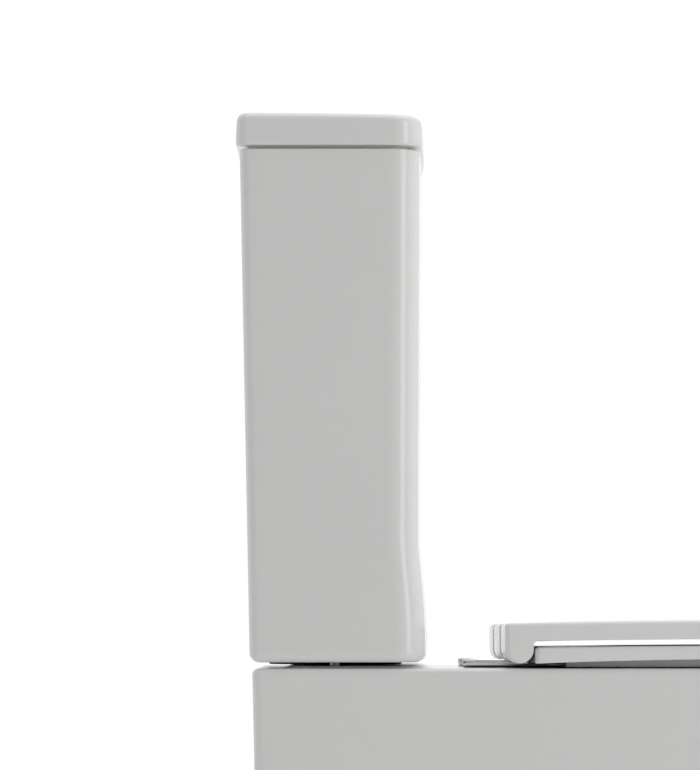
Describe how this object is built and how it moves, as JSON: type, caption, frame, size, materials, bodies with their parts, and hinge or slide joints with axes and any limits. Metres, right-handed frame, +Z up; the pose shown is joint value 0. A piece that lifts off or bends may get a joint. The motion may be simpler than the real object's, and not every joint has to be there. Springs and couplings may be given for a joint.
{
  "type": "close coupled toilet",
  "caption": "Close coupled toilet with a skirted back-to-wall pan, dual flush cistern and hinged seat and cover.",
  "frame": {"origin": "on the floor under the middle of the whole toilet's outline", "axes": "+X from the wall towards the front of the bowl, +Y to the left of someone sitting on it, +Z up"},
  "size_m": [0.655, 0.372, 0.8496],
  "materials": {
    "vitreous_china": "gloss white glaze",
    "seat_plastic": "gloss white moulding",
    "chrome": "polished",
    "stainless_steel": "satin",
    "black_rubber": "matt",
    "clear_rubber": "satin",
    "white_plastic": "satin",
    "grey_plastic": "satin",
    "blue_plastic": "satin"
  },
  "bodies": {
    "root": {"pan": "vitreous_china", "cistern": "vitreous_china", "hinge_plate_left": "chrome", "hinge_gasket_left": "black_rubber", "hinge_pin_left": "stainless_steel", "hinge_stud_left": "stainless_steel", "hinge_washer_left": "black_rubber", "hinge_nut_left": "white_plastic", "cistern_bolt_left": "stainless_steel", "cistern_bolt_seal_left": "black_rubber", "cistern_bolt_washer_left": "black_rubber", "cistern_bolt_nut_left": "white_plastic", "floor_bracket_left": "grey_plastic", "floor_screw_left": "stainless_steel", "side_screw_left": "stainless_steel", "side_cap_left": "chrome", "hinge_plate_right": "chrome", "hinge_gasket_right": "black_rubber", "hinge_pin_right": "stainless_steel", "hinge_stud_right": "stainless_steel", "hinge_washer_right": "black_rubber", "hinge_nut_right": "white_plastic", "cistern_bolt_right": "stainless_steel", "cistern_bolt_seal_right": "black_rubber", "cistern_bolt_washer_right": "black_rubber", "cistern_bolt_nut_right": "white_plastic", "floor_bracket_right": "grey_plastic", "floor_screw_right": "stainless_steel", "side_screw_right": "stainless_steel", "side_cap_right": "chrome", "flush_valve_body": "white_plastic", "flush_valve_washer": "black_rubber", "flush_valve_nut": "white_plastic", "coupling_gasket": "black_rubber", "fill_valve_body": "white_plastic", "fill_valve_washer": "black_rubber", "fill_valve_nut": "white_plastic"},
    "seat": {"seat_ring": "seat_plastic", "ring_buffer_rear_left": "clear_rubber", "ring_buffer_rear_right": "clear_rubber", "ring_buffer_front_left": "clear_rubber", "ring_buffer_front_right": "clear_rubber"},
    "cover": {"seat_cover": "seat_plastic", "cover_buffer_left": "clear_rubber", "cover_buffer_right": "clear_rubber"},
    "lid": {"cistern_lid": "vitreous_china", "button_bezel": "chrome", "button_nut": "white_plastic"},
    "small_button": {"button_half": "chrome", "push_rod_half": "white_plastic"},
    "large_button": {"button_full": "chrome", "push_rod_full": "white_plastic"},
    "plug": {"flush_plug": "blue_plastic", "flush_plug_seal": "black_rubber"},
    "float": {"fill_valve_float": "grey_plastic"},
    "lever": {"fill_valve_lever": "white_plastic"}
  },
  "joints": [
    {"name": "seat_hinge", "type": "hinge", "parent": "root", "child": "seat", "pos_m": [-0.0995, 0, 0.4155], "axis": [0, -1, 0], "range_deg": [0, 95]},
    {"name": "cover_hinge", "type": "hinge", "parent": "seat", "child": "cover", "pos_m": [-0.0995, 0, 0.4155], "axis": [0, 1, 0], "range_deg": [-95, 0]},
    {"name": "lid_lift", "type": "slide", "parent": "root", "child": "lid", "axis": [0, 0, 1], "range_m": [0, 0.15]},
    {"name": "small_button_press", "type": "slide", "parent": "lid", "child": "small_button", "axis": [0, 0, -1], "range_m": [0, 0.005], "stiffness_N_per_m": 400, "springref_m": -0.002},
    {"name": "large_button_press", "type": "slide", "parent": "lid", "child": "large_button", "axis": [0, 0, -1], "range_m": [0, 0.005], "stiffness_N_per_m": 400, "springref_m": -0.002},
    {"name": "plug_lift", "type": "slide", "parent": "root", "child": "plug", "axis": [0, 0, 1], "range_m": [0, 0.015]},
    {"name": "float_rise", "type": "slide", "parent": "root", "child": "float", "axis": [0, 0, 1], "range_m": [0, 0.012]},
    {"name": "lever_tilt", "type": "hinge", "parent": "root", "child": "lever", "pos_m": [-0.2695, 0.133, 0.777], "axis": [-1, 0, 0], "range_deg": [0, 22.3]}
  ],
  "couplings": [
    {"joint": "plug_lift", "follows": "large_button_press", "ratio": 3},
    {"joint": "lever_tilt", "follows": "float_rise", "rad_per_m": 32.26}
  ]
}
